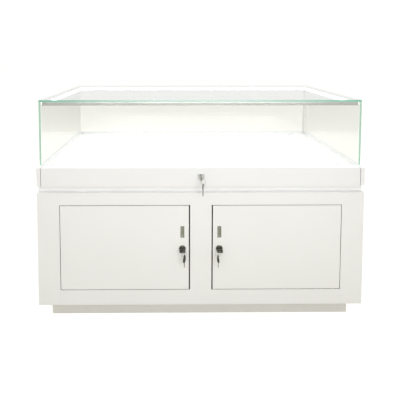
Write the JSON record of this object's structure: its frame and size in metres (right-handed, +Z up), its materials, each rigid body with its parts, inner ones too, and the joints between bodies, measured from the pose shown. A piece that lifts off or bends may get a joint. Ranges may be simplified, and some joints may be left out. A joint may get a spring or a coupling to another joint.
{
  "type": "display showcase",
  "caption": "Shop display counter: white cabinet with two locking doors, a lockable pull-out display deck with its glass front, and a glass case lit by bars under its top pane",
  "frame": {"origin": "on the floor under the middle of the plinth", "axes": "+X to the right as seen from the drawer side, +Y from the drawer side to the back, +Z up"},
  "size_m": [1.2, 0.6406, 0.82],
  "materials": {
    "white_lacquer": "satin white lacquer over board",
    "clear_glass": "clear float glass with polished green edges",
    "satin_aluminium": "satin anodised",
    "diffuser_plastic": "opal diffuser",
    "led_tape": "white flexible circuit with emitters",
    "white_plastic": "white PVC",
    "black_plastic": "moulded black plastic",
    "zinc_steel": "bright zinc-plated steel",
    "pivot_bush": "moulded acetal",
    "lock_chrome": "polished chrome on zinc",
    "satin_metal": "satin nickel",
    "key_nickel": "nickel-plated brass keys and steel ring"
  },
  "bodies": {
    "cabinet": {"base_back": "white_lacquer", "base_bottom_and_top": "white_lacquer", "base_divider": "white_lacquer", "base_sides": "white_lacquer", "cabinet_screws": "zinc_steel", "door_stops": "white_lacquer", "face_frame_centre_stile": "white_lacquer", "face_frame_outer_stiles": "white_lacquer", "face_frame_rails": "white_lacquer", "glass_back": "clear_glass", "glass_side_panes": "clear_glass", "glass_top": "clear_glass", "led_diffusers": "diffuser_plastic", "led_driver": "white_plastic", "led_housings": "satin_aluminium", "led_lead": "white_plastic", "led_strips": "led_tape", "mains_grommet": "black_plastic", "pivot_plates": "zinc_steel", "plinth_boards": "white_lacquer", "runner_fixed_rails": "zinc_steel", "strike_plates": "zinc_steel", "tray_base": "white_lacquer", "tray_walls": "white_lacquer", "wire_duct": "white_plastic"},
    "runner_mids": {"runner_mid_rails": "zinc_steel"},
    "drawer": {"drawer_deck": "white_lacquer", "drawer_frame": "white_lacquer", "drawer_front": "white_lacquer", "drawer_glass": "clear_glass", "drawer_ledge": "white_lacquer", "drawer_lock_housing": "lock_chrome", "drawer_runner_rails": "zinc_steel"},
    "door_left": {"door_left_bushes": "pivot_bush", "door_left_lock_housing": "lock_chrome", "door_left_panel": "white_lacquer", "door_left_pull": "satin_metal"},
    "door_right": {"door_right_bushes": "pivot_bush", "door_right_lock_housing": "lock_chrome", "door_right_panel": "white_lacquer", "door_right_pull": "satin_metal"},
    "left_lock": {"left_lock_cam": "zinc_steel", "left_lock_key_blade": "key_nickel", "left_lock_key_head": "black_plastic", "left_lock_plug": "lock_chrome"},
    "left_keys": {"left_lock_key_ring": "key_nickel", "left_lock_spare_blade": "key_nickel", "left_lock_spare_head": "black_plastic"},
    "right_lock": {"right_lock_cam": "zinc_steel", "right_lock_key_blade": "key_nickel", "right_lock_key_head": "black_plastic", "right_lock_plug": "lock_chrome"},
    "right_keys": {"right_lock_key_ring": "key_nickel", "right_lock_spare_blade": "key_nickel", "right_lock_spare_head": "black_plastic"},
    "drawer_lock": {"drawer_lock_cam": "zinc_steel", "drawer_lock_key": "key_nickel", "drawer_lock_plug": "lock_chrome"},
    "drawer_keys": {"drawer_lock_key_ring": "key_nickel", "drawer_lock_spare_key": "key_nickel"}
  },
  "joints": [
    {"name": "drawer_slide", "type": "slide", "parent": "cabinet", "child": "drawer", "axis": [0, -1, 0], "range_m": [0, 0.45]},
    {"name": "runner_slide", "type": "slide", "parent": "cabinet", "child": "runner_mids", "axis": [0, -1, 0], "range_m": [0, 0.225]},
    {"name": "door_left_hinge", "type": "hinge", "parent": "cabinet", "child": "door_left", "pos_m": [-0.491, -0.291, 0.277], "axis": [0, 0, -1], "range_deg": [0, 105]},
    {"name": "door_right_hinge", "type": "hinge", "parent": "cabinet", "child": "door_right", "pos_m": [0.491, -0.291, 0.277], "axis": [0, 0, 1], "range_deg": [0, 105]},
    {"name": "left_lock_turn", "type": "hinge", "parent": "door_left", "child": "left_lock", "pos_m": [-0.068, -0.29, 0.274], "axis": [0, 1, 0], "range_deg": [0, 90]},
    {"name": "left_keys_hang", "type": "hinge", "parent": "left_lock", "child": "left_keys", "pos_m": [-0.068, -0.3245, 0.274], "axis": [0, 1, 0], "range_deg": [-90, 0]},
    {"name": "right_lock_turn", "type": "hinge", "parent": "door_right", "child": "right_lock", "pos_m": [0.068, -0.29, 0.274], "axis": [0, -1, 0], "range_deg": [0, 90]},
    {"name": "right_keys_hang", "type": "hinge", "parent": "right_lock", "child": "right_keys", "pos_m": [0.068, -0.3245, 0.274], "axis": [0, -1, 0], "range_deg": [-90, 0]},
    {"name": "drawer_lock_turn", "type": "hinge", "parent": "drawer", "child": "drawer_lock", "pos_m": [0, -0.29, 0.544], "axis": [0, -1, 0], "range_deg": [0, 90]},
    {"name": "drawer_keys_hang", "type": "hinge", "parent": "drawer_lock", "child": "drawer_keys", "pos_m": [0, -0.3245, 0.544], "axis": [0, -1, 0], "range_deg": [-90, 0]}
  ],
  "couplings": [
    {"joint": "runner_slide", "follows": "drawer_slide", "ratio": 0.5},
    {"joint": "left_keys_hang", "follows": "left_lock_turn", "ratio": -1},
    {"joint": "right_keys_hang", "follows": "right_lock_turn", "ratio": -1},
    {"joint": "drawer_keys_hang", "follows": "drawer_lock_turn", "ratio": -1}
  ]
}
